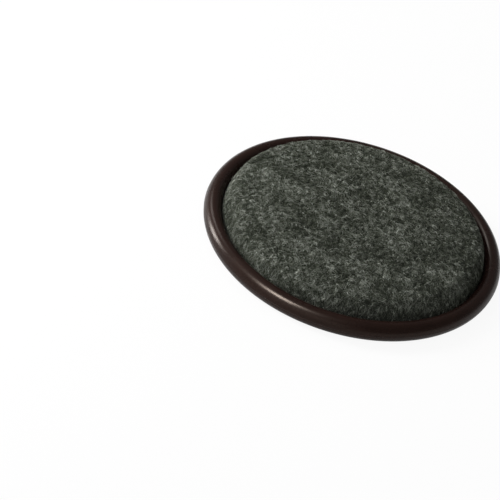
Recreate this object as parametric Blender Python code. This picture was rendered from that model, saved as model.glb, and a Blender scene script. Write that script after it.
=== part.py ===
"""A round caster cup with a carpeted base, lying on its rim with the carpet up.

The cup is turned about +Z. Its rim bead stands on the plane z = 0, the carpet crowns upwards,
and the well that takes a caster or a furniture leg opens downwards. All sizes are in metres.
"""

import math

import bpy

# Rim bead, the oval edge that the cup stands on when it lies carpet up, with a flat land under it
RIM_DIAMETER = 0.0890
BEAD_WIDTH = 0.0052
BEAD_HEIGHT = 0.0060
LAND_DEPTH = 0.00015

# Moulded cup: its wall, and the web that joins the bead to the wall above the rim plane
WALL = 0.0015
WEB_CLEARANCE = 0.0010
WEB_THICKNESS = 0.0016
MOUTH_FILLET = 0.0008

# Carpet pad, hot formed over the cup's base: straight side, round shoulder and crown with a flat middle
CARPET_THICKNESS = 0.0022
CARPET_GROOVE = 0.0003
SIDE_HEIGHT = 0.0020
SHOULDER_RADIUS = 0.0053
CROWN_RISE = 0.0026
CROWN_FLAT_DIAMETER = 0.0120

# Adhesive films, the bare margin round each, and the clearance on both faces of a bond
CARPET_FILM = 0.0002
LINER_FILM = 0.0002
FILM_MARGIN = 0.0010
BOND_GAP = 0.0001

# Rubber liner on the floor of the well, with turned grip grooves in its flat face
LINER_MARGIN = 0.0038
LINER_EDGE = 0.0008
LINER_CHAMFER = 0.0003
GROOVE_PITCH = 0.0042
GROOVE_WIDTH = 0.0014
GROOVE_DEPTH = 0.0005

# Facets
TURN_STEPS = 48
CROWN_STEPS = 4
FILLET_STEPS = 5
BEAD_STEPS = 16
MOUTH_STEPS = 3
MERGE_DISTANCE = 0.000002

# Places that follow from the sizes above
RIM_RADIUS = RIM_DIAMETER / 2
BEAD_RADII = (BEAD_WIDTH / 2, BEAD_HEIGHT / 2)
BEAD_CENTRE = (RIM_RADIUS - BEAD_RADII[0], BEAD_RADII[1] - LAND_DEPTH)
WEB_TOP = WEB_CLEARANCE + WEB_THICKNESS
CARPET_RADIUS = RIM_RADIUS - BEAD_WIDTH - CARPET_GROOVE
CROWN_FLAT_RADIUS = CROWN_FLAT_DIAMETER / 2
SHOULDER_HEIGHT = WEB_TOP + SIDE_HEIGHT
CROWN_HEIGHT = SHOULDER_HEIGHT + SHOULDER_RADIUS + CROWN_RISE
LEAST_FILLET = WALL / 4

# How far each layer's outer face lies under the carpet's face
FILM_INSET = CARPET_THICKNESS + BOND_GAP
SHELL_INSET = FILM_INSET + CARPET_FILM + BOND_GAP
WELL_INSET = SHELL_INSET + WALL
LINER_FILM_INSET = WELL_INSET + BOND_GAP
LINER_INSET = LINER_FILM_INSET + LINER_FILM + BOND_GAP


def crown_circle():
    """Radius and centre height of the crown's arc, which touches the shoulder's arc from outside it."""
    reach = CARPET_RADIUS - SHOULDER_RADIUS
    rise = SHOULDER_RADIUS + CROWN_RISE
    radius = (reach**2 + rise**2 - SHOULDER_RADIUS**2) / (2 * CROWN_RISE)
    return radius, CROWN_HEIGHT - radius


def crown_height(inset, distance):
    """Height of the crown's face, offset inwards by inset, at a distance from the axis."""
    radius, centre = crown_circle()
    return centre + math.sqrt((radius - inset) ** 2 - distance**2)


def shoulder(inset):
    """Centre, radius and upper end in degrees of the shoulder's arc, offset inwards by inset."""
    radius, centre = crown_circle()
    fillet = max(SHOULDER_RADIUS - inset, LEAST_FILLET)
    reach = radius - inset - fillet
    turn = CARPET_RADIUS - inset - fillet
    height = centre + math.sqrt(reach**2 - turn**2)
    return (turn, height), fillet, math.degrees(math.acos(turn / reach))


def crown_edge(inset):
    """Distance from the axis at which the crown, offset inwards by inset, turns into the shoulder."""
    centre, fillet, end = shoulder(inset)
    return centre[0] + fillet * math.cos(math.radians(end))


def oval(centre, radii, start, end, steps):
    """Points on an oval about a centre (distance, height), from one angle to another in degrees."""
    angles = [math.radians(start + (end - start) * i / steps) for i in range(steps + 1)]
    return [(centre[0] + radii[0] * math.cos(a), centre[1] + radii[1] * math.sin(a)) for a in angles]


def arc(centre, radius, start, end, steps):
    """Points on a round arc, with its angles as for an oval."""
    return oval(centre, (radius, radius), start, end, steps)


def crown(inset, edge):
    """The crown's face from the axis out to the edge, flat across its middle."""
    flat = min(CROWN_FLAT_RADIUS, edge / 2)
    top = crown_height(inset, flat)
    run = [flat + (edge - flat) * i / CROWN_STEPS for i in range(1, CROWN_STEPS + 1)]
    return [(0.0, top), (flat, top)] + [(r, crown_height(inset, r)) for r in run]


def dome(inset, foot):
    """The carpet's face, offset inwards: crown, round shoulder and straight side down to the foot."""
    centre, fillet, end = shoulder(inset)
    round_edge = arc(centre, fillet, end, 0, FILLET_STEPS)
    return crown(inset, crown_edge(inset)) + round_edge[1:] + [(CARPET_RADIUS - inset, foot)]


def shell_section():
    """The moulded cup, from its crown out round the bead and back up the well's wall to the axis."""
    rise = math.degrees(math.asin((WEB_TOP - BEAD_CENTRE[1]) / BEAD_RADII[1]))
    fall = math.degrees(math.asin((BEAD_CENTRE[1] - WEB_CLEARANCE) / BEAD_RADII[1]))
    land = math.degrees(math.acos((BEAD_RADII[1] - LAND_DEPTH) / BEAD_RADII[1]))
    bead = oval(BEAD_CENTRE, BEAD_RADII, 180 - rise, land - 90, BEAD_STEPS)
    bead += oval(BEAD_CENTRE, BEAD_RADII, -90 - land, fall - 180, MOUTH_STEPS)
    well = dome(WELL_INSET, WEB_CLEARANCE)[::-1]
    corner = (well[0][0] + MOUTH_FILLET, WEB_CLEARANCE + MOUTH_FILLET)
    mouth = arc(corner, MOUTH_FILLET, -90, -180, MOUTH_STEPS)
    return dome(SHELL_INSET, WEB_TOP) + bead + mouth + well[1:]


def carpet_section():
    """The formed carpet, which covers the cup's base and side down to the web."""
    foot = WEB_TOP + BOND_GAP
    return dome(0, foot) + dome(CARPET_THICKNESS, foot)[::-1]


def film_section(inset, thickness, edge):
    """An adhesive film that follows the crown."""
    return crown(inset, edge) + crown(inset + thickness, edge)[::-1]


def liner_radius():
    """Radius of the liner, which leaves a bare margin on the floor of the well."""
    return crown_edge(WELL_INSET) - LINER_MARGIN


def liner_section():
    """The liner: a back that follows the floor, a chamfered edge and a grooved flat face."""
    edge = liner_radius()
    face = crown_height(LINER_INSET, edge) - LINER_EDGE
    section = crown(LINER_INSET, edge) + [(edge, face + LINER_CHAMFER), (edge - LINER_CHAMFER, face)]
    count = int((edge - LINER_CHAMFER - GROOVE_WIDTH) / GROOVE_PITCH)
    for ring in range(count, 0, -1):
        outside = ring * GROOVE_PITCH + GROOVE_WIDTH / 2
        inside = outside - GROOVE_WIDTH
        lift = face + GROOVE_DEPTH
        section += [(outside, face), (outside, lift), (inside, lift), (inside, face)]
    return section + [(0.0, face)]


def material(name, colour, roughness):
    """A plain Principled material in linear colour."""
    made = bpy.data.materials.new(name)
    made.use_nodes = True
    shader = made.node_tree.nodes["Principled BSDF"]
    shader.inputs["Base Color"].default_value = (*colour, 1.0)
    shader.inputs["Roughness"].default_value = roughness
    shader.inputs["Metallic"].default_value = 0.0
    made.diffuse_color = (*colour, 1.0)
    return made


def turned(name, section, finish, parent):
    """A solid turned about +Z from a section that starts and ends on the axis."""
    mesh = bpy.data.meshes.new(name)
    points = [(distance, 0.0, height) for distance, height in section]
    mesh.from_pydata(points, [(i, i + 1) for i in range(len(points) - 1)], [])
    mesh.materials.append(finish)
    solid = bpy.data.objects.new(name, mesh)
    solid.parent = parent
    bpy.context.scene.collection.objects.link(solid)
    screw = solid.modifiers.new("turn", "SCREW")
    screw.axis = "Z"
    screw.angle = math.tau
    screw.steps = screw.render_steps = TURN_STEPS
    screw.use_merge_vertices = True
    screw.merge_threshold = MERGE_DISTANCE
    screw.use_smooth_shade = True
    return solid


def clear_scene():
    """Removes what the file starts with."""
    for old in list(bpy.data.objects):
        bpy.data.objects.remove(old)


def build():
    """The five pieces of the cup, all turned about one axis."""
    clear_scene()
    cup = bpy.data.objects.new("caster_cup", None)
    bpy.context.scene.collection.objects.link(cup)
    brown = material("moulded_brown_plastic", (0.020, 0.013, 0.011), 0.32)
    grey = material("needled_grey_carpet", (0.075, 0.080, 0.074), 1.0)
    amber = material("hot_melt_film", (0.62, 0.50, 0.28), 0.45)
    clear = material("pressure_sensitive_film", (0.70, 0.68, 0.60), 0.30)
    black = material("black_rubber", (0.018, 0.018, 0.019), 0.75)
    carpet_film = film_section(FILM_INSET, CARPET_FILM, crown_edge(SHELL_INSET) - FILM_MARGIN)
    liner_film = film_section(LINER_FILM_INSET, LINER_FILM, liner_radius() - FILM_MARGIN)
    turned("cup_shell", shell_section(), brown, cup)
    turned("carpet_pad", carpet_section(), grey, cup)
    turned("carpet_adhesive", carpet_film, amber, cup)
    turned("liner_adhesive", liner_film, clear, cup)
    turned("grip_liner", liner_section(), black, cup)


build()
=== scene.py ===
"""Looks of a carpeted caster cup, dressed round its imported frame.

The cup lies on its rim with the carpet up. A dark brown moulded cup carries a grey needled carpet on its
base, and a rubber liner lies in its well. All sizes are in metres, in the frame's own axes.
"""

import logging
import math
from dataclasses import dataclass, replace
from enum import Enum

import bpy
from mathutils import Matrix, Vector


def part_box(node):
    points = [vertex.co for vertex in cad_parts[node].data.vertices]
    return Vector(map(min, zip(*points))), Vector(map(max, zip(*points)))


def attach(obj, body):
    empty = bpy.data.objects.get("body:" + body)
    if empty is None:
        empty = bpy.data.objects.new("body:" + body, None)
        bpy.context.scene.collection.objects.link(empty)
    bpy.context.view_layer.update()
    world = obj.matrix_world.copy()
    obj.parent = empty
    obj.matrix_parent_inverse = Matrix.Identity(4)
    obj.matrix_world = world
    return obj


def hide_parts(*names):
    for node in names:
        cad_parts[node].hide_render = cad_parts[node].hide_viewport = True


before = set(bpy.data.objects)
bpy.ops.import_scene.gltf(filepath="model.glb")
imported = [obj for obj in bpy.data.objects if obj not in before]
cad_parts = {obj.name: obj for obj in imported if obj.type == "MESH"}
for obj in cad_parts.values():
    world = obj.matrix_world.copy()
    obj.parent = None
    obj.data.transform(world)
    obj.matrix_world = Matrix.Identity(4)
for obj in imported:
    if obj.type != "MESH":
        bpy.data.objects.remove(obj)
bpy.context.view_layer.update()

BODY = "root"
MM = 0.001
BAKE_MAP = "OFBake"
LOG = logging.getLogger("caster_cup")

# Depth under the rim plane of the point that the carpet's outer face looks away from
HUB_DEPTH = 20 * MM
# How fine and how rough the soft clouds in the carpet are
SOFT_CLOUDS = {"Detail": 3.0, "Roughness": 0.6}
UP = (0.0, 0.0, 1.0)

Point = tuple[float, float]
Span = tuple[float, float]
Direction = tuple[float, float, float]
Inputs = tuple[tuple[str, object], ...]
Tree = bpy.types.NodeTree
Material = bpy.types.Material
Piece = bpy.types.Object
# What drives an input: a socket, or a node by its first output
Source = bpy.types.NodeSocket | bpy.types.Node


def linear(code: str) -> tuple[float, float, float, float]:
    """Turns an sRGB hex colour into linear colour.

    Args:
        code: Six hex digits, such as "2a1d1a".

    Returns:
        Red, green, blue and an alpha of 1.
    """
    shares = [int(code[i:i + 2], 16) / 255 for i in (0, 2, 4)]
    red, green, blue = [s / 12.92 if s <= 0.04045 else ((s + 0.055) / 1.055) ** 2.4 for s in shares]
    return red, green, blue, 1.0


def add(tree: Tree, kind: str, inputs: dict | None = None, **settings: object) -> bpy.types.Node:
    """Adds a node with its settings and links.

    Args:
        tree: The shader or geometry tree that takes the node.
        kind: The node's type, where "Math" is short for "ShaderNodeMath" and so on.
        inputs: Values, or the sources that drive them, by the input's identifier or index.
        settings: The node's own properties.

    Returns:
        The new node.
    """
    node = tree.nodes.new(kind if "Node" in kind else "ShaderNode" + kind)
    for name, value in settings.items():
        setattr(node, name, value)
    for key, value in (inputs or {}).items():
        named = {socket.identifier: socket for socket in node.inputs}
        socket = node.inputs[key] if isinstance(key, int) else named[key]
        if isinstance(value, bpy.types.Node):
            value = value.outputs[0]
        if isinstance(value, bpy.types.NodeSocket):
            tree.links.new(value, socket)
        else:
            socket.default_value = value
    return node


def out(node: bpy.types.Node, name: str) -> bpy.types.NodeSocket:
    """The node's output with that identifier."""
    return next(socket for socket in node.outputs if socket.identifier == name)


def start_material(name: str) -> tuple[Material, Tree]:
    """Starts a material with an empty tree.

    Args:
        name: The real material's name.

    Returns:
        The material and its node tree.
    """
    made = bpy.data.materials.new(name)
    made.use_nodes = True
    made.node_tree.nodes.clear()
    return made, made.node_tree


def start_geometry(name: str, inputs: dict[str, str]) -> tuple[Tree, bpy.types.NodeOutputs]:
    """Starts a geometry tree with a geometry input, a geometry output and named inputs for its sizes.

    Args:
        name: The tree's name.
        inputs: Socket type for each named input.

    Returns:
        The tree and the sockets of its inputs.
    """
    tree = bpy.data.node_groups.new(name, "GeometryNodeTree")
    tree.interface.new_socket("Geometry", in_out="OUTPUT", socket_type="NodeSocketGeometry")
    tree.interface.new_socket("Geometry", in_out="INPUT", socket_type="NodeSocketGeometry")
    for label, kind in inputs.items():
        tree.interface.new_socket(label, in_out="INPUT", socket_type=kind)
    return tree, tree.nodes.new("NodeGroupInput").outputs


def apply_tree(piece: Piece, tree: Tree, values: dict[str, object]) -> None:
    """Runs a geometry tree on a piece and keeps the result as the piece's plain mesh.

    Args:
        piece: The object whose mesh the tree starts from.
        tree: The geometry tree.
        values: A value for each named input.
    """
    modifier = piece.modifiers.new(tree.name, "NODES")
    modifier.node_group = tree
    for socket in tree.interface.items_tree:
        if socket.in_out == "INPUT" and socket.name in values:
            modifier[socket.identifier] = values[socket.name]
    graph = bpy.context.evaluated_depsgraph_get()
    source = piece.data
    mesh = bpy.data.meshes.new_from_object(piece.evaluated_get(graph), depsgraph=graph)
    piece.modifiers.remove(modifier)
    mesh.name = piece.name
    piece.data = mesh
    bpy.data.meshes.remove(source)


def new_piece(name: str, mesh: bpy.types.Mesh) -> Piece:
    """Links a mesh into the scene as a piece at the origin.

    Args:
        name: The piece's name.
        mesh: Its mesh, in the frame's own axes.

    Returns:
        The piece.
    """
    piece = bpy.data.objects.new(name, mesh)
    bpy.context.scene.collection.objects.link(piece)
    return piece


def oval(centre: Point, radii: Point, start: float, end: float, steps: int) -> list[Point]:
    """Points on an oval of the section.

    Args:
        centre: Distance from the axis and height of the oval's centre.
        radii: Half its width and half its height.
        start: First angle in degrees, from the outward direction up.
        end: Last angle in degrees.
        steps: Number of chords.

    Returns:
        The oval's points, both ends included.
    """
    angles = [math.radians(start + (end - start) * i / steps) for i in range(steps + 1)]
    return [(centre[0] + radii[0] * math.cos(a), centre[1] + radii[1] * math.sin(a)) for a in angles]


def arc(centre: Point, radius: float, start: float, end: float, steps: int) -> list[Point]:
    """Points on a round arc of the section, with its angles as for an oval."""
    return oval(centre, (radius, radius), start, end, steps)


@dataclass(frozen=True)
class CupSection:
    """The cup's turned section, as pairs of distance from the axis and height."""

    rim_radius: float
    bead_radii: Point = (2.6 * MM, 3.0 * MM)
    land_depth: float = 0.15 * MM
    wall: float = 1.5 * MM
    web_clearance: float = 1.0 * MM
    web_thickness: float = 1.6 * MM
    mouth_fillet: float = 0.8 * MM
    carpet_thickness: float = 2.2 * MM
    carpet_groove: float = 0.3 * MM
    side_height: float = 2.0 * MM
    shoulder_radius: float = 5.3 * MM
    crown_rise: float = 2.6 * MM
    film: float = 0.2 * MM
    bond_gap: float = 0.1 * MM
    crown_steps: int = 28
    fillet_steps: int = 14

    @property
    def web_top(self) -> float:
        """Height of the web that the carpet's edge stands on."""
        return self.web_clearance + self.web_thickness

    @property
    def bead_centre(self) -> Point:
        """Centre of the bead's oval section."""
        return self.rim_radius - self.bead_radii[0], self.bead_radii[1] - self.land_depth

    @property
    def bead_crest(self) -> float:
        """Height of the bead's crest."""
        return self.bead_centre[1] + self.bead_radii[1]

    @property
    def land_deg(self) -> float:
        """Half the angle that the flat land takes off the bead's underside."""
        return math.degrees(math.acos((self.bead_radii[1] - self.land_depth) / self.bead_radii[1]))

    @property
    def carpet_radius(self) -> float:
        """Outer radius of the carpet's side."""
        return self.rim_radius - 2 * self.bead_radii[0] - self.carpet_groove

    @property
    def shell_inset(self) -> float:
        """How far the cup's base lies under the carpet's face."""
        return self.carpet_thickness + self.film + 2 * self.bond_gap

    @property
    def well_inset(self) -> float:
        """How far the well's floor lies under the carpet's face."""
        return self.shell_inset + self.wall

    @property
    def liner_inset(self) -> float:
        """How far the liner's back lies under the carpet's face."""
        return self.well_inset + self.film + 2 * self.bond_gap

    @property
    def crown_circle(self) -> Point:
        """Radius and centre height of the crown's arc."""
        reach = self.carpet_radius - self.shoulder_radius
        rise = self.shoulder_radius + self.crown_rise
        radius = (reach**2 + rise**2 - self.shoulder_radius**2) / (2 * self.crown_rise)
        return radius, self.web_top + self.side_height + rise - radius

    def crown_height(self, inset: float, distance: float) -> float:
        """Height of the crown's face, offset inwards by an inset, at a distance from the axis."""
        radius, centre = self.crown_circle
        return centre + math.sqrt((radius - inset) ** 2 - distance**2)

    def shoulder(self, inset: float) -> tuple[Point, float, float]:
        """The shoulder's arc.

        Args:
            inset: How far the face is offset inwards.

        Returns:
            The arc's centre, its radius and its upper end in degrees.
        """
        radius, centre = self.crown_circle
        fillet = self.shoulder_radius - inset
        reach = radius - inset - fillet
        turn = self.carpet_radius - inset - fillet
        height = centre + math.sqrt(reach**2 - turn**2)
        return (turn, height), fillet, math.degrees(math.acos(turn / reach))

    def crown_edge(self, inset: float) -> float:
        """Distance from the axis at which the crown, offset inwards by an inset, turns into the shoulder."""
        centre, fillet, end = self.shoulder(inset)
        return centre[0] + fillet * math.cos(math.radians(end))

    def crown(self, inset: float, edge: float) -> list[Point]:
        """The crown's face, offset inwards by an inset, from the axis out to an edge."""
        run = [edge * i / self.crown_steps for i in range(self.crown_steps + 1)]
        return [(r, self.crown_height(inset, r)) for r in run]

    def dome(self, inset: float, foot: float, side_steps: int = 1) -> list[Point]:
        """The carpet's face, offset inwards: crown, shoulder and straight side.

        Args:
            inset: How far the face is offset inwards.
            foot: Height at which the side ends.
            side_steps: Number of chords down the side.

        Returns:
            The points, from the axis outwards and down.
        """
        centre, fillet, end = self.shoulder(inset)
        side = self.carpet_radius - inset
        drop = [centre[1] + (foot - centre[1]) * i / side_steps for i in range(1, side_steps + 1)]
        round_edge = arc(centre, fillet, end, 0, self.fillet_steps)[1:]
        return self.crown(inset, self.crown_edge(inset)) + round_edge + [(side, z) for z in drop]


class Turning:
    """Turns a section about +Z with a geometry tree.

    Points nearer than the seam are joined, and edges that turn by more than the sharp angle stay sharp.
    """

    SEAM = 0.001 * MM
    SHARP_DEG = 38.0

    def __init__(self) -> None:
        """Builds the tree once for all the turned pieces."""
        sizes = {"Steps": "NodeSocketInt", "Seam": "NodeSocketFloat", "Finish": "NodeSocketMaterial"}
        self.tree, given = start_geometry("turned_section", sizes)
        tree = self.tree
        section, steps = given["Geometry"], given["Steps"]
        count = add(tree, "GeometryNodeAttributeDomainSize", {"Geometry": section})
        rings = add(tree, "FunctionNodeIntegerMath", {0: steps, 1: 1})
        grid = add(tree, "GeometryNodeMeshGrid", {"Vertices X": rings, "Vertices Y": count})
        index = add(tree, "GeometryNodeInputIndex")
        place = add(tree, "FunctionNodeIntegerMath", {0: index, 1: count}, operation="MODULO")
        ring = add(tree, "FunctionNodeIntegerMath", {0: index, 1: count}, operation="DIVIDE_FLOOR")
        where = add(tree, "GeometryNodeInputPosition")
        sample = add(tree, "GeometryNodeSampleIndex", {"Geometry": section, "Value": where, "Index": place},
                     data_type="FLOAT_VECTOR")
        share = add(tree, "Math", {0: ring, 1: steps}, operation="DIVIDE")
        angle = add(tree, "Math", {0: share, 1: math.tau}, operation="MULTIPLY")
        spun = add(tree, "VectorRotate", {"Vector": sample, "Angle": angle}, rotation_type="Z_AXIS")
        moved = add(tree, "GeometryNodeSetPosition", {"Geometry": grid, "Position": spun})
        closed = add(tree, "GeometryNodeMergeByDistance", {"Geometry": moved, "Distance": given["Seam"]})
        outward = add(tree, "GeometryNodeFlipFaces", {"Mesh": closed})
        smooth = add(tree, "GeometryNodeSetShadeSmooth", {"Geometry": outward})
        real = add(tree, "GeometryNodeRealizeInstances", {"Geometry": smooth})
        done = add(tree, "GeometryNodeSetMaterial", {"Geometry": real, "Material": given["Finish"]})
        add(tree, "NodeGroupOutput", {0: done})

    def turn(self, name: str, section: list[Point], steps: int, finish: Material) -> Piece:
        """Makes one turned piece.

        Args:
            name: The piece's name.
            section: Its section, from the axis outwards, down and back to the axis.
            steps: Number of facets round the axis.
            finish: Its material.

        Returns:
            The piece, with a plain closed mesh.
        """
        mesh = bpy.data.meshes.new(name)
        points = [(distance, 0.0, height) for distance, height in section]
        mesh.from_pydata(points, [(i, i + 1) for i in range(len(points) - 1)], [])
        piece = new_piece(name, mesh)
        apply_tree(piece, self.tree, {"Steps": steps, "Seam": self.SEAM, "Finish": finish})
        piece.data.set_sharp_from_angle(angle=math.radians(self.SHARP_DEG))
        return piece


@dataclass(frozen=True)
class Pattern:
    """A cloudy noise pattern: the size of its clouds, and how fine, how rough and how warped they are."""

    size_mm: float
    detail: float
    roughness: float = 0.5
    distortion: float = 0.0

    def inputs(self, place: Source) -> dict[str, object]:
        """The inputs of a noise node that lays the pattern over a place."""
        return {"Vector": place, "Scale": 1 / (self.size_mm * MM), "Detail": self.detail,
                "Roughness": self.roughness, "Distortion": self.distortion}


@dataclass(frozen=True)
class CloudedFinish:
    """A skin whose tone drifts in clouds, over a relief, with a roughness that may drift with the tone.

    The spans are the levels of the clouds between which the tone and the roughness change, and shine holds
    the shader's other values by the name of their input.
    """

    name: str
    tones: tuple[str, str]
    roughness: Span
    clouds: Pattern
    relief: Pattern
    relief_strength: float
    relief_mm: float
    shine: Inputs
    tone_span: Span = (0.0, 1.0)
    gloss_span: Span = (0.3, 0.7)

    def material(self) -> Material:
        """Builds the material.

        Returns:
            The material.
        """
        made, tree = start_material(self.name)
        place = add(tree, "TexCoord").outputs["Object"]
        clouds, relief = [add(tree, "TexNoise", pattern.inputs(place))
                          for pattern in (self.clouds, self.relief)]
        split = add(tree, "MapRange",
                    {"Value": clouds, "From Min": self.tone_span[0], "From Max": self.tone_span[1]})
        dark, light = [linear(code) for code in self.tones]
        tone = add(tree, "Mix", {"Factor_Float": split, "A_Color": dark, "B_Color": light}, data_type="RGBA")
        bump = add(tree, "Bump",
                   {"Height": relief, "Strength": self.relief_strength, "Distance": self.relief_mm * MM})
        rough, roughest = self.roughness
        if roughest != rough:
            rough = add(tree, "MapRange",
                        {"Value": clouds, "From Min": self.gloss_span[0], "From Max": self.gloss_span[1],
                         "To Min": rough, "To Max": roughest})
        shader = add(tree, "BsdfPrincipled", {"Base Color": out(tone, "Result_Color"), "Roughness": rough,
                                              "Normal": bump, **dict(self.shine)})
        add(tree, "OutputMaterial", {"Surface": shader})
        return made


@dataclass(frozen=True)
class MouldedPlastic(CloudedFinish):
    """Dark brown polypropylene, injection moulded.

    A satin skin with faint flow marks in the brown, a fine mould grain and a warm gloss with soft edges.
    A real mould's grain is too fine to show, so it is drawn coarser.
    """

    name: str = "moulded_brown_polypropylene"
    tones: tuple[str, str] = ("1d110e", "271814")
    roughness: Span = (0.25, 0.30)
    clouds: Pattern = Pattern(9.0, 4.0, 0.6)
    relief: Pattern = Pattern(0.22, 2.0)
    relief_strength: float = 0.35
    relief_mm: float = 0.004
    shine: Inputs = (("Specular IOR Level", 0.155), ("Specular Tint", linear("ffeedf")))


@dataclass(frozen=True)
class FeltGround(CloudedFinish):
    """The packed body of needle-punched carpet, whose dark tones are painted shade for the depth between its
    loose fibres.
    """

    name: str = "needled_carpet_ground"
    # Painted shade: near-black tones, darker than most of the fibres, so that the body shows as shadowed
    # depth where it peeps between them
    tones: tuple[str, str] = ("090e01", "33372d")
    roughness: Span = (0.95, 0.95)
    clouds: Pattern = Pattern(1.4, 3.0, 0.6)
    relief: Pattern = Pattern(1.4, 3.0, 0.6)
    relief_strength: float = 0.8
    relief_mm: float = 0.15
    shine: Inputs = (("Specular IOR Level", 0.1),)
    tone_span: Span = (0.38, 0.66)


@dataclass(frozen=True)
class BlackRubber(CloudedFinish):
    """Moulded black rubber.

    Matt and almost neutral, with a faint grey bloom in patches and the fine grain of a blasted mould.
    """

    name: str = "moulded_black_rubber"
    tones: tuple[str, str] = ("1d1d1e", "2c2c2d")
    roughness: Span = (0.62, 0.8)
    clouds: Pattern = Pattern(7.0, 6.0, 0.65)
    relief: Pattern = Pattern(0.3, 2.0)
    relief_strength: float = 0.5
    relief_mm: float = 0.02
    shine: Inputs = (("IOR", 1.52),)


@dataclass(frozen=True)
class AdhesiveFilm(CloudedFinish):
    """Adhesive laid down as a film, with the cloudy flow marks that it sets with."""

    clouds: Pattern = Pattern(3.5, 4.0, distortion=1.2)
    relief: Pattern = Pattern(3.5, 4.0, distortion=1.2)
    relief_strength: float = 0.4
    relief_mm: float = 0.05
    shine: Inputs = (("IOR", 1.48),)


@dataclass(frozen=True)
class FibreFinish:
    """Dyed polyester staple fibre, crimped and matt, with painted shade that darkens each end where it dives
    into the carpet.
    """

    name: str
    shades: tuple[str, ...]
    # Painted shade at the ends: the share of the colour left at each tip, and the share of the length from
    # each tip over which it fades
    end_painted_shade: float = 0.45
    end_length: float = 0.35
    roughness: float = 0.85
    specular: float = 0.15

    def material(self) -> Material:
        """Builds the material, which reads a fibre's shade across the map and its length up the map, and
        paints shade on its ends.

        Returns:
            The material.
        """
        made, tree = start_material(self.name)
        spot = add(tree, "UVMap", uv_map=BAKE_MAP)
        across = add(tree, "SeparateXYZ", {0: spot})
        ramp = add(tree, "ValToRGB", {"Fac": across.outputs["X"]})
        stops = ramp.color_ramp.elements
        for i, code in enumerate(self.shades):
            at = i / (len(self.shades) - 1)
            stop = stops[0] if i == 0 else stops[-1] if at == 1 else stops.new(at)
            stop.color = linear(code)
        # Painted shade: darker towards each end of the fibre, where it dives into the carpet
        from_end = add(tree, "Math", {0: across.outputs["Y"], 1: 0.5}, operation="PINGPONG")
        middle = add(tree, "MapRange",
                     {"Value": from_end, "From Max": self.end_length, "To Min": self.end_painted_shade})
        tint = add(tree, "Mix", {"Factor_Float": 1.0, "A_Color": ramp, "B_Color": middle},
                   data_type="RGBA", blend_type="MULTIPLY")
        shader = add(tree, "BsdfPrincipled",
                     {"Base Color": out(tint, "Result_Color"), "Roughness": self.roughness,
                      "Specular IOR Level": self.specular})
        add(tree, "OutputMaterial", {"Surface": shader})
        return made


def ride(piece: Piece, slot: str, *nodes: str) -> None:
    """Sets a finished piece on the cup's one body.

    Args:
        piece: The piece.
        slot: The name of a material slot, which is not used.
        nodes: The frame's nodes that it stands for.
    """
    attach(piece, BODY)
    if nodes:
        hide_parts(*nodes)
    LOG.info("%s: %d faces", piece.name, len(piece.data.polygons))


@dataclass
class CupShell:
    """The moulded cup with its oval rim bead, its web and its well."""

    section: CupSection
    turning: Turning
    finish: MouldedPlastic = MouldedPlastic()
    steps: int = 288
    bead_steps: int = 40
    mouth_steps: int = 8
    parting_height: float = 0.05 * MM
    parting_width: float = 0.16 * MM

    def bead(self) -> list[Point]:
        """The bead's oval face from the web over the crest to the land, with its mould parting line.

        Returns:
            The points, from the web's top to the land's outer edge.
        """
        cut = self.section
        centre, (wide, tall) = cut.bead_centre, cut.bead_radii
        rise = math.degrees(math.asin((cut.web_top - centre[1]) / tall))
        half = math.degrees(self.parting_width / 2 / tall)
        over = oval(centre, cut.bead_radii, 180 - rise, half, self.bead_steps)
        under = oval(centre, cut.bead_radii, -half, cut.land_deg - 90, self.bead_steps // 2)
        return over + [(centre[0] + wide + self.parting_height, centre[1])] + under

    def outline(self) -> list[Point]:
        """The whole section, from the crown round the bead and back up the well.

        Returns:
            The points, from the axis to the axis.
        """
        cut = self.section
        centre, tall = cut.bead_centre, cut.bead_radii[1]
        fall = math.degrees(math.asin((centre[1] - cut.web_clearance) / tall))
        inside = oval(centre, cut.bead_radii, -90 - cut.land_deg, fall - 180, self.mouth_steps)
        well = cut.dome(cut.well_inset, cut.web_clearance)[::-1]
        corner = (well[0][0] + cut.mouth_fillet, cut.web_clearance + cut.mouth_fillet)
        mouth = arc(corner, cut.mouth_fillet, -90, -180, self.mouth_steps)
        return cut.dome(cut.shell_inset, cut.web_top) + self.bead() + inside + mouth + well[1:]

    def build(self) -> None:
        """Builds and dresses the cup."""
        piece = self.turning.turn("cup_moulding", self.outline(), self.steps, self.finish.material())
        ride(piece, "moulded_brown_plastic", "cup_shell")


def outer_face(tree: Tree) -> Source:
    """Picks the faces of the carpet that look away from a point under the cup.

    Args:
        tree: The geometry tree.

    Returns:
        True on those faces.
    """
    where = add(tree, "GeometryNodeInputPosition")
    outward = add(tree, "VectorMath", {0: where, 1: (0.0, 0.0, HUB_DEPTH)})
    normal = add(tree, "GeometryNodeInputNormal")
    facing = add(tree, "VectorMath", {0: normal, 1: outward}, operation="DOT_PRODUCT")
    return add(tree, "FunctionNodeCompare", {"A": out(facing, "Value"), "B": 0.0}, operation="GREATER_THAN")


def soft_clouds(tree: Tree, where: Source, size: Source, levels: Span, least: float = 0.0) -> Source:
    """Lays soft clouds over the carpet, in which its tufts rise and its dyed lots gather.

    Args:
        tree: The geometry tree.
        where: The position on the face.
        size: The clouds' size.
        levels: The levels of the noise between which the clouds rise.
        least: Their value under the lower level.

    Returns:
        The clouds, from their least value to 1.
    """
    scale = add(tree, "Math", {0: 1.0, 1: size}, operation="DIVIDE")
    noise = add(tree, "TexNoise", {"Vector": where, "Scale": scale, **SOFT_CLOUDS})
    low, high = levels
    return add(tree, "MapRange", {"Value": noise, "From Min": low, "From Max": high, "To Min": least})


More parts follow.
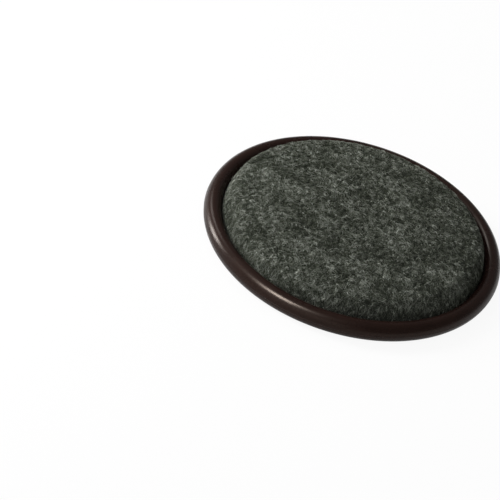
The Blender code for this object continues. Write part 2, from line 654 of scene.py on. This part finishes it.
class Tufting:
    """Raises the carpet's face in soft tufts with a geometry tree, as needling leaves it.

    The tufts sink and rise between two levels of their clouds, and fade in above the carpet's foot.
    """

    LEVELS = (0.25, 0.75)
    FADE = 2 * MM

    def __init__(self) -> None:
        """Builds the tree."""
        sizes = {"Height": "NodeSocketFloat", "Size": "NodeSocketFloat", "Foot": "NodeSocketFloat",
                 "Finish": "NodeSocketMaterial"}
        self.tree, given = start_geometry("tufted_face", sizes)
        tree = self.tree
        where = add(tree, "GeometryNodeInputPosition")
        rise = soft_clouds(tree, where, given["Size"], self.LEVELS, least=-1.0)
        height = add(tree, "SeparateXYZ", {0: where}).outputs["Z"]
        over = add(tree, "Math", {0: given["Foot"], 1: self.FADE})
        tall = add(tree, "MapRange", {"Value": height, "From Min": given["Foot"], "From Max": over})
        for share in (given["Height"], rise):
            tall = add(tree, "Math", {0: share, 1: tall}, operation="MULTIPLY")
        normal = add(tree, "GeometryNodeInputNormal")
        offset = add(tree, "VectorMath", {"Vector": normal, "Scale": tall}, operation="SCALE")
        moved = add(tree, "GeometryNodeSetPosition",
                    {"Geometry": given["Geometry"], "Selection": outer_face(tree), "Offset": offset})
        real = add(tree, "GeometryNodeRealizeInstances", {"Geometry": moved})
        done = add(tree, "GeometryNodeSetMaterial", {"Geometry": real, "Material": given["Finish"]})
        add(tree, "NodeGroupOutput", {0: done})


class Lay(Enum):
    """How a layer of fibres lies on the carpet, as the height of its loops in metres."""

    PRESSED = 0.08 * MM
    LOOPED = 0.17 * MM
    STRAY = 0.30 * MM


@dataclass(frozen=True)
class FibreLayer:
    """One dyed lot of fibres in the needled blend."""

    name: str
    shades: tuple[str, ...]
    lay: Lay
    count: int
    length: float
    thickness: float
    clumping: float
    seed: int
    points: int = 3


class Needling:
    """Scatters crimped fibres over the carpet's face with a geometry tree.

    Real staple fibre is too fine for the picture, so each fibre here stands for a small lock of it.
    """

    # A fibre's form: its bows to the side as shares of its length, its facets round, and its taper, by the
    # share of its length that each end takes up and the share of its thickness that is left at the tip
    BOWS = (-0.30, -0.12, 0.10, 0.27)
    FACETS = 3
    TAPER = (0.3, 0.5)

    # Each fibre's random draws in a fixed order, with their kind and their least and greatest values
    DRAWS = {
        "shade": ("FLOAT", 0.0, 0.36),
        "spin": ("FLOAT", -1.0, 1.0),
        "tilt": ("FLOAT", -0.12, 0.12),
        "size": ("FLOAT_VECTOR", (0.55, 0.6, 0.4), (1.5, 1.4, 0.95)),
        "shape": ("INT", 0, len(BOWS) - 1),
    }
    # How the names of a random node's sockets end, by the kind of draw
    ENDINGS = {"FLOAT_VECTOR": "", "FLOAT": "_001", "INT": "_002"}

    # What the tufts and the patches add to a fibre's drawn shade, which stays under 1 in all
    # The tufts' share is partly painted shade: the same clouds raise the tufts, so fibres are lighter on
    # their tops and darker in the hollows
    TUFT_TONE_AND_HOLLOW_SHADE = 0.47
    PATCH_SHADE = 0.16

    # Levels of the clouds between which a lot gathers
    GATHER = (0.37, 0.63)

    # Upward share of the face's normal on the side and on the crown, and how far a fibre swings there
    SLOPES = (0.55, 0.97)
    SWINGS = (0.8, math.pi)

    # Heights between which the carpet comes out from behind the bead, and how flat its fibres lie there
    TUCK = (5.35 * MM, 7.35 * MM)
    TUCKED = 0.35

    # Strips of shade in the map, and the part of a strip that a fibre covers across and along
    STRIPS = 24
    ACROSS = (0.1, 0.9)
    ALONG = (0.02, 0.98)

    def __init__(self) -> None:
        """Builds the tree once for all the layers."""
        floats = ("Density", "Length", "Thickness", "Lift", "Tuft", "Patch", "Clumping")
        sizes = {name: "NodeSocketFloat" for name in floats}
        sizes |= {"Drift": "NodeSocketVector", "Points": "NodeSocketInt", "Seed": "NodeSocketInt",
                  "Finish": "NodeSocketMaterial"}
        self.tree, self.given = start_geometry("needled_fibres", sizes)
        tree, given = self.tree, self.given
        self.drawn = self.draws()
        self.where = add(tree, "GeometryNodeInputPosition")
        aside = add(tree, "VectorMath", {0: self.where, 1: given["Drift"]})
        self.tufts = soft_clouds(tree, self.where, given["Tuft"], self.GATHER)
        self.patches = soft_clouds(tree, aside, given["Patch"], self.GATHER)
        points = self.scatter()
        placed = add(tree, "GeometryNodeInstanceOnPoints",
                     {"Points": self.tone(points), "Instance": self.shapes(), "Pick Instance": True,
                      "Instance Index": self.drawn["shape"],
                      "Rotation": self.turns(points.outputs["Normal"]), "Scale": self.scales()})
        real = add(tree, "GeometryNodeRealizeInstances", {"Geometry": placed})
        mapped = self.bake_map(real)
        smooth = add(tree, "GeometryNodeSetShadeSmooth", {"Geometry": mapped})
        done = add(tree, "GeometryNodeSetMaterial", {"Geometry": smooth, "Material": given["Finish"]})
        add(tree, "NodeGroupOutput", {0: done})

    def draws(self) -> dict[str, Source]:
        """Draws each fibre's random values, each kind from a seed of its own.

        Returns:
            The values by name.
        """
        drawn = {}
        for lot, (name, (kind, least, most)) in enumerate(self.DRAWS.items(), start=1):
            end = self.ENDINGS[kind]
            seed = add(self.tree, "FunctionNodeIntegerMath", {0: self.given["Seed"], 1: lot})
            value = add(self.tree, "FunctionNodeRandomValue",
                        {"Min" + end: least, "Max" + end: most, "Seed": seed}, data_type=kind)
            drawn[name] = out(value, "Value" + end)
        return drawn

    def scatter(self) -> bpy.types.Node:
        """Points over the carpet's outer face, denser where its lot gathers.

        Returns:
            The scattering node.
        """
        tree, given = self.tree, self.given
        thin, full = [add(tree, "Math", {0: 1.0, 1: given["Clumping"]}, operation=way)
                      for way in ("SUBTRACT", "ADD")]
        density = given["Density"]
        # Lots that gather with the tufts' clouds put light fibres on the raised tufts and dark ones in the
        # hollows, which is partly painted shade
        for clouds in (self.tufts, self.patches):
            share = add(tree, "MapRange", {"Value": clouds, "To Min": thin, "To Max": full})
            density = add(tree, "Math", {0: share, 1: density}, operation="MULTIPLY")
        return add(tree, "GeometryNodeDistributePointsOnFaces",
                   {"Mesh": given["Geometry"], "Selection": outer_face(tree), "Density": density,
                    "Seed": given["Seed"]})

    def tone(self, points: Source) -> Source:
        """Gives each fibre its own shade, which drifts with the clouds, and is partly painted shade: lighter
        on the tufts' tops and darker in the hollows between them.

        Args:
            points: The scattered points.

        Returns:
            The points with their shades.
        """
        tree = self.tree
        patch = add(tree, "Math", {0: self.patches, 1: self.PATCH_SHADE}, operation="MULTIPLY")
        drift = add(tree, "Math", {0: self.tufts, 1: self.TUFT_TONE_AND_HOLLOW_SHADE, 2: patch}, operation="MULTIPLY_ADD")
        shade = add(tree, "Math", {0: self.drawn["shade"], 1: drift})
        return add(tree, "GeometryNodeStoreNamedAttribute",
                   {"Geometry": points, "Name": "tone", "Value": shade})

    def turns(self, normal: Source) -> Source:
        """Lays each fibre along the face, any way on the crown and mostly upright on the side.

        Args:
            normal: The face's direction at each point.

        Returns:
            The fibre's rotation.
        """
        tree = self.tree
        stood = add(tree, "FunctionNodeAlignRotationToVector", {"Vector": normal}, axis="Z")
        slope = add(tree, "FunctionNodeAlignRotationToVector",
                    {"Rotation": stood, "Vector": UP}, axis="X", pivot_axis="Z")
        upward = add(tree, "SeparateXYZ", {0: normal}).outputs["Z"]
        swing = add(tree, "MapRange",
                    {"Value": upward, "From Min": self.SLOPES[0], "From Max": self.SLOPES[1],
                     "To Min": self.SWINGS[0], "To Max": self.SWINGS[1]})
        spin = add(tree, "Math", {0: self.drawn["spin"], 1: swing}, operation="MULTIPLY")
        turned = slope
        for axis, angle in ((UP, spin), ((0.0, 1.0, 0.0), self.drawn["tilt"])):
            step = add(tree, "FunctionNodeAxisAngleToRotation", {"Axis": axis, "Angle": angle})
            turned = add(tree, "FunctionNodeRotateRotation", {"Rotation": turned, "Rotate By": step},
                         rotation_space="LOCAL")
        return turned

    def scales(self) -> Source:
        """Varies each fibre's size, and presses it flat where the carpet is tucked behind the bead.

        Returns:
            The fibre's scale.
        """
        tree, (low, high) = self.tree, self.TUCK
        height = add(tree, "SeparateXYZ", {0: self.where}).outputs["Z"]
        tuck = add(tree, "MapRange",
                   {"Value": height, "From Min": low, "From Max": high, "To Min": self.TUCKED})
        flat = add(tree, "CombineXYZ", {"X": 1.0, "Y": 1.0, "Z": tuck})
        return add(tree, "VectorMath", {0: self.drawn["size"], 1: flat}, operation="MULTIPLY")

    def shapes(self) -> Source:
        """A few bowed fibres, each a closed tapered tube that rises out of the carpet and dives back.

        Returns:
            The fibres as instances to pick from.
        """
        tree, given = self.tree, self.given
        shares = (("Length", -0.5), ("Length", 0.5), ("Thickness", -1.0), ("Thickness", 0.5))
        back, front, sink, radius = [
            add(tree, "Math", {0: given[size], 1: share}, operation="MULTIPLY")
            for size, share in shares]
        # A loop rises to half the height of its middle point, so that point stands at twice the lift
        peak = add(tree, "Math", {0: given["Lift"], 1: 2.0, 2: given["Thickness"]}, operation="MULTIPLY_ADD")
        start, end = [add(tree, "CombineXYZ", {"X": x, "Z": sink}) for x in (back, front)]
        along = add(tree, "GeometryNodeSplineParameter")
        from_end = add(tree, "Math", {0: along, 1: 0.5}, operation="PINGPONG")
        taper = add(tree, "MapRange",
                    {"Value": from_end, "From Max": self.TAPER[0], "To Min": self.TAPER[1]})
        ring = add(tree, "GeometryNodeCurvePrimitiveCircle", {"Resolution": self.FACETS, "Radius": radius})
        profile = add(tree, "GeometryNodeStoreNamedAttribute",
                      {"Geometry": ring, "Name": "across", "Value": along})
        join = add(tree, "GeometryNodeJoinGeometry")
        for bow in self.BOWS:
            side = add(tree, "Math", {0: given["Length"], 1: bow}, operation="MULTIPLY")
            middle = add(tree, "CombineXYZ", {"Y": side, "Z": peak})
            line = add(tree, "GeometryNodeCurveQuadraticBezier",
                       {"Start": start, "Middle": middle, "End": end})
            bent = add(tree, "GeometryNodeResampleCurve", {"Curve": line, "Count": given["Points"]})
            marked = add(tree, "GeometryNodeStoreNamedAttribute",
                         {"Geometry": bent, "Name": "along", "Value": along})
            tube = add(tree, "GeometryNodeCurveToMesh",
                       {"Curve": marked, "Profile Curve": profile, "Scale": taper, "Fill Caps": True})
            single = add(tree, "GeometryNodeGeometryToInstance", {"Geometry": tube})
            tree.links.new(single.outputs[0], join.inputs[0])
        return join

    def bake_map(self, fibres: Source) -> Source:
        """Maps each fibre into a strip of its own shade, with its length up the strip.

        Args:
            fibres: The fibres as real mesh.

        Returns:
            The fibres with their map.
        """
        tree = self.tree
        names = ("tone", "across", "along")
        spot, across, along = [
            out(add(tree, "GeometryNodeInputNamedAttribute", {"Name": name}), "Attribute") for name in names]
        within, up = [
            add(tree, "MapRange", {"Value": place, "To Min": low, "To Max": high})
            for place, (low, high) in ((across, self.ACROSS), (along, self.ALONG))]
        steps = {"MULTIPLY": self.STRIPS, "FLOOR": 0.0, "ADD": within, "DIVIDE": self.STRIPS}
        for operation, value in steps.items():
            spot = add(tree, "Math", {0: spot, 1: value}, operation=operation)
        spot = add(tree, "CombineXYZ", {"X": spot, "Y": up})
        mapped = add(tree, "GeometryNodeStoreNamedAttribute",
                     {"Geometry": fibres, "Name": BAKE_MAP, "Value": spot}, data_type="FLOAT2",
                     domain="CORNER")
        for name in names:
            mapped = add(tree, "GeometryNodeRemoveAttribute", {"Geometry": mapped, "Name": name})
        return mapped


@dataclass
class CarpetPad:
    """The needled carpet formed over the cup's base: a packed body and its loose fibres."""

    section: CupSection
    turning: Turning
    ground: FeltGround = FeltGround()
    steps: int = 480
    side_steps: int = 6
    crown_steps: int = 108
    # How far the foot leans out, and the gap that it leaves to the bead
    flare_deg: float = 15.0
    flare_gap: float = 0.17 * MM
    # Depth of the packed body under the carpet's face, and the height and width of its tufts
    depth: float = 0.20 * MM
    lump_height: float = 0.32 * MM
    tuft: float = 1.4 * MM
    # Width of the patches of one shade, and how far their pattern is shifted
    patch: float = 8.0 * MM
    patch_drift: Direction = (0.193, 0.149, -0.0847)
    # Each lot's name, shades, lay, count, length, thickness, clumping and seed, and its points where not 3
    layers: tuple[FibreLayer, ...] = (
        FibreLayer("carpet_fibres_charcoal", ("070c00", "1d2214", "40443a"), Lay.PRESSED, 13000, 1.5 * MM,
                   0.36 * MM, -0.55, 11),
        FibreLayer("carpet_fibres_slate", ("0d1203", "2d3226", "62665c"), Lay.LOOPED, 13000, 1.4 * MM,
                   0.31 * MM, -0.1, 23),
        FibreLayer("carpet_fibres_grey", ("14190a", "43473c", "7f8379"), Lay.LOOPED, 13000, 1.4 * MM,
                   0.31 * MM, 0.3, 37),
        FibreLayer("carpet_fibres_ash", ("1b2011", "565a4f", "999d93"), Lay.PRESSED, 13000, 1.3 * MM,
                   0.29 * MM, 0.5, 41),
        FibreLayer("carpet_fibres_silver", ("262b1d", "6b6f64", "b2b6ac"), Lay.LOOPED, 7000, 1.2 * MM,
                   0.26 * MM, 0.65, 53, 4),
        FibreLayer("carpet_fibres_stray", ("171c0e", "5b5f54", "a4a89e"), Lay.STRAY, 5000, 3.0 * MM,
                   0.10 * MM, 0.2, 71, 6),
    )

    def face_area(self) -> float:
        """Area of the carpet's outer face in square metres, from its section."""
        face = self.section.dome(0.0, self.section.web_top)
        return sum(math.pi * (a[0] + b[0]) * math.dist(a, b) for a, b in zip(face, face[1:]))

    def flared(self, face: list[Point]) -> list[Point]:
        """Leans the foot of the carpet's face out to the bead, where the soft pile fills the groove.

        Args:
            face: The face's section, from the axis outwards and down.

        Returns:
            The section with its foot leant out.
        """
        cut = self.section
        lean = math.radians(self.flare_deg)
        (turn, level), fillet, _ = cut.shoulder(self.depth)
        edge, top = turn + fillet * math.cos(lean), level + fillet * math.sin(lean)
        (bead, middle), (wide, tall) = cut.bead_centre, cut.bead_radii
        leant = [point for point in face if point[1] >= top]
        for distance, height in face[len(leant):]:
            rest = max(0.0, 1 - ((height - middle) / tall) ** 2)
            room = bead - wide * math.sqrt(rest) - self.flare_gap
            leant.append((max(distance, min(edge + (top - height) * math.tan(lean), room)), height))
        return leant

    def packed_body(self) -> Piece:
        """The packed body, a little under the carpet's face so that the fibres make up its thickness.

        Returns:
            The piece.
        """
        cut = self.section
        foot = cut.web_top + cut.bond_gap
        fine = replace(cut, crown_steps=self.crown_steps)
        outer = self.flared(fine.dome(self.depth, foot, self.side_steps))
        inner = cut.dome(cut.carpet_thickness, foot, self.side_steps)
        finish = self.ground.material()
        body = self.turning.turn("carpet_body", outer + inner[::-1], self.steps, finish)
        apply_tree(body, Tufting().tree, {"Height": self.lump_height, "Size": self.tuft,
                                          "Foot": cut.bead_crest, "Finish": finish})
        return body

    def fibres(self, body: Piece, layer: FibreLayer, needling: Needling) -> Piece:
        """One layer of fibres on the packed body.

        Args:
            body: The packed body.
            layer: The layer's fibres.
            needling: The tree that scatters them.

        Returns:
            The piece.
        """
        finish = FibreFinish(layer.name.replace("carpet", "polyester"), layer.shades)
        piece = new_piece(layer.name, body.data.copy())
        apply_tree(piece, needling.tree, {
            "Density": layer.count / self.face_area(), "Length": layer.length, "Thickness": layer.thickness,
            "Lift": layer.lay.value, "Tuft": self.tuft, "Patch": self.patch, "Drift": self.patch_drift,
            "Clumping": layer.clumping, "Points": layer.points, "Seed": layer.seed,
            "Finish": finish.material()})
        return piece

    def build(self) -> None:
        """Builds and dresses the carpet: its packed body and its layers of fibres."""
        body = self.packed_body()
        needling = Needling()
        pieces = [self.fibres(body, layer, needling) for layer in self.layers]
        ride(body, "needled_grey_carpet", "carpet_pad")
        for piece in pieces:
            ride(piece, "needled_grey_carpet")


@dataclass
class GripLiner:
    """The rubber liner in the well: a back that follows the floor and a flat face with grip grooves."""

    section: CupSection
    turning: Turning
    finish: BlackRubber = BlackRubber()
    steps: int = 216
    margin: float = 3.8 * MM
    edge: float = 0.8 * MM
    chamfer: float = 0.3 * MM
    pitch: float = 4.2 * MM
    groove_width: float = 1.4 * MM
    groove_depth: float = 0.5 * MM
    fillet: float = 0.15 * MM
    fillet_steps: int = 3

    def groove(self, outside: float, face: float) -> list[Point]:
        """One grip groove with rounded lips.

        Args:
            outside: Distance from the axis of the groove's outer wall.
            face: Height of the liner's face.

        Returns:
            The points, from outside to inside.
        """
        inside = outside - self.groove_width
        top, r, n = face + self.groove_depth, self.fillet, self.fillet_steps
        return (arc((outside + r, face + r), r, -90, -180, n) + [(outside, top), (inside, top)]
                + arc((inside - r, face + r), r, 0, -90, n))

    def outline(self) -> list[Point]:
        """The liner's section.

        Returns:
            The points, from the axis to the axis.
        """
        cut = self.section
        edge = cut.crown_edge(cut.well_inset) - self.margin
        face = cut.crown_height(cut.liner_inset, edge) - self.edge
        section = cut.crown(cut.liner_inset, edge)
        section += [(edge, face + self.chamfer), (edge - self.chamfer, face)]
        count = int((edge - self.chamfer - self.groove_width) / self.pitch)
        for ring in range(count, 0, -1):
            section += self.groove(ring * self.pitch + self.groove_width / 2, face)
        return section + [(0.0, face)]

    def build(self) -> None:
        """Builds and dresses the liner."""
        piece = self.turning.turn("well_liner", self.outline(), self.steps, self.finish.material())
        ride(piece, "black_rubber", "grip_liner")


@dataclass
class AdhesiveFilms:
    """The two films that bond the carpet and the liner to the cup, kept as the frame holds them."""

    carpet: AdhesiveFilm = AdhesiveFilm("amber_hot_melt", ("c9b384", "a98f5a"), (0.42, 0.42))
    liner: AdhesiveFilm = AdhesiveFilm("clear_acrylic_adhesive", ("d8d5c8", "c2beb0"), (0.3, 0.3))

    def dress(self) -> None:
        """Gives each film its finish."""
        for node, finish in (("carpet_adhesive", self.carpet), ("liner_adhesive", self.liner)):
            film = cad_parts[node]
            film.data.materials.clear()
            film.data.materials.append(finish.material())
            LOG.info("%s: %s", node, finish.name)


class Reach(Enum):
    """What a lamp's light reaches: only the gloss of a surface, or only its matt colour."""

    GLOSS = "gloss"
    MATT = "matt"


@dataclass(frozen=True)
class SoftBox:
    """A lamp that faces the cup from a direction, with the second side of its size along another.

    Its level is the share of plain light that it gives a surface which faces it.
    """

    name: str
    towards: Direction
    distance: float
    size: tuple[float, float]
    level: float
    reach: Reach
    along: Direction = UP

    def build(self) -> None:
        """Builds the lamp."""
        lamp = bpy.data.lights.new(self.name, "AREA")
        lamp.shape = "RECTANGLE"
        lamp.size, lamp.size_y = self.size
        lamp.energy = self.level * math.pi**2 * self.distance**2
        placed = bpy.data.objects.new(self.name, lamp)
        way = Vector(self.towards).normalized()
        side = Vector(self.along).cross(way).normalized()
        axes = Matrix((side.cross(-way), side, way)).transposed()
        placed.matrix_world = Matrix.Translation(way * self.distance) @ axes.to_4x4()
        placed.visible_diffuse = self.reach is not Reach.GLOSS
        placed.visible_glossy = self.reach is not Reach.MATT
        bpy.context.scene.collection.objects.link(placed)


@dataclass
class Studio:
    """A plain pale floor and soft studio light."""

    floor_half: float = 3.0
    floor_drop: float = 0.02 * MM
    floor_colour: str = "fafafa"
    # How white the floor shows to the camera, and the share of that which gloss shows
    floor_white: float = 0.92
    gloss_white: float = 0.5
    # The surround's bright side, how far towards it the light starts to rise, and its two levels
    bright_side: Direction = (-0.86, -0.28, 0.42)
    dim_from: float = 0.1
    dim: float = 0.24
    bright: float = 0.76
    # Each lamp's name, direction, distance, size, level and reach, and the lie of its size where not upright
    boxes: tuple[SoftBox, ...] = (
        SoftBox("left_box", (-0.85, 0.05, 0.52), 0.45, (0.202, 0.104), 0.87, Reach.MATT),
        SoftBox("low_box", (-0.97, 0.195, 0.14), 0.45, (0.202, 0.096), 1.08, Reach.GLOSS),
        SoftBox("corner_box", (-0.58, 0.55, 0.58), 0.60, (0.20, 0.10), 0.15, Reach.GLOSS),
        SoftBox("front_box", (-0.44, -0.435, 0.785), 0.70, (0.20, 0.27), 2.08, Reach.GLOSS,
                (-0.73, 0.67, -0.13)),
        SoftBox("near_box", (-0.26, -0.91, 0.30), 0.80, (0.46, 0.96), 0.20, Reach.GLOSS),
        SoftBox("back_box", (-0.30, 0.60, 0.74), 0.70, (0.16, 0.16), 0.12, Reach.MATT, (1.0, 0.0, 0.0)),
    )

    def white_share(self, tree: Tree) -> Source:
        """Marks the rays that see the white surround: those from the camera, through glass and in gloss.

        Args:
            tree: The floor's tree.

        Returns:
            1 for the camera's rays and through glass, less in gloss, and 0 for the rest.
        """
        path = add(tree, "LightPath").outputs
        share = add(tree, "Math", {0: path["Is Glossy Ray"], 1: self.gloss_white}, operation="MULTIPLY")
        for rays in ("Is Camera Ray", "Is Transmission Ray"):
            share = add(tree, "Math", {0: share, 1: path[rays]}, operation="MAXIMUM")
        return share

    def floor(self) -> None:
        """The floor, which shows white and keeps the cup's shadow."""
        made, tree = start_material("pale_floor")
        matt = add(tree, "BsdfDiffuse", {"Color": linear(self.floor_colour)})
        white = add(tree, "Emission", {"Strength": 1.0})
        share = add(tree, "Math", {0: self.white_share(tree), 1: self.floor_white}, operation="MULTIPLY")
        mixed = add(tree, "MixShader", {"Fac": share, "Shader": matt, "Shader_001": white})
        add(tree, "OutputMaterial", {"Surface": mixed})
        half, low = self.floor_half, -self.floor_drop
        mesh = bpy.data.meshes.new("floor")
        corners = [(-half, -half, low), (half, -half, low), (half, half, low), (-half, half, low)]
        mesh.from_pydata(corners, [], [(0, 1, 2, 3)])
        mesh.materials.append(made)
        floor = new_piece("floor", mesh)

    def world(self) -> None:
        """A soft surround that falls off from the bright side to the dim side."""
        world = bpy.data.worlds.new("studio")
        world.use_nodes = True
        tree = world.node_tree
        tree.nodes.clear()
        way = add(tree, "TexCoord").outputs["Generated"]
        along = add(tree, "VectorMath", {0: way, 1: self.bright_side}, operation="DOT_PRODUCT")
        level = add(tree, "MapRange",
                    {"Value": out(along, "Value"), "From Min": self.dim_from, "To Min": self.dim,
                     "To Max": self.bright}, interpolation_type="SMOOTHSTEP")
        ground = add(tree, "Background", {"Color": (1.0, 1.0, 1.0, 1.0), "Strength": level})
        add(tree, "OutputWorld", {"Surface": ground})
        bpy.context.scene.world = world

    def build(self) -> None:
        """Builds the floor, the surround and the lamps."""
        self.floor()
        self.world()
        for box in self.boxes:
            box.build()
        bpy.context.scene.view_settings.view_transform = "Standard"


@dataclass(frozen=True)
class PhotoCamera:
    """The camera at the photograph's viewing angle, rolled as the cup leans in it."""

    frame_px: float = 500.0
    sensor_mm: float = 36.0
    elevation_deg: float = 36.95
    roll_deg: float = 17.87
    distance: float = 0.796
    scale_px_per_mm: float = 3.4185
    rim_centre_px: Point = (350.43, 242.34)
    clip: Span = (0.01, 20.0)

    def build(self) -> None:
        """Builds the camera and makes it the scene's own."""
        rise, roll = math.radians(self.elevation_deg), math.radians(self.roll_deg)
        back = Vector((0.0, -math.cos(rise), math.sin(rise)))
        level, upright = Vector((1.0, 0.0, 0.0)), Vector((0.0, math.sin(rise), math.cos(rise)))
        right = level * math.cos(roll) + upright * math.sin(roll)
        up = upright * math.cos(roll) - level * math.sin(roll)
        metres = MM / self.scale_px_per_mm
        middle = self.frame_px / 2
        aim = (right * (middle - self.rim_centre_px[0]) + up * (self.rim_centre_px[1] - middle)) * metres
        place = back * self.distance
        out_of_lens = (place - aim).normalized()
        across = up.cross(out_of_lens).normalized()
        lens = bpy.data.cameras.new("photo_camera")
        lens.sensor_width = self.sensor_mm
        lens.lens = self.scale_px_per_mm / MM * self.distance / self.frame_px * self.sensor_mm
        lens.clip_start, lens.clip_end = self.clip
        camera = bpy.data.objects.new("photo_camera", lens)
        turn = out_of_lens.cross(across)
        axes = Matrix((across, turn, out_of_lens)).transposed()
        camera.matrix_world = Matrix.Translation(place) @ axes.to_4x4()
        bpy.context.scene.collection.objects.link(camera)
        bpy.context.scene.camera = camera


def main() -> None:
    """Builds the camera, the cup's pieces and the studio in order."""
    logging.basicConfig(level=logging.INFO, format="%(message)s")
    PhotoCamera().build()
    low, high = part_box("cup_shell")
    section = CupSection(rim_radius=(high[0] - low[0]) / 2)
    turning = Turning()
    CupShell(section, turning).build()
    CarpetPad(section, turning).build()
    GripLiner(section, turning).build()
    AdhesiveFilms().dress()
    Studio().build()


if __name__ == "__main__":
    main()
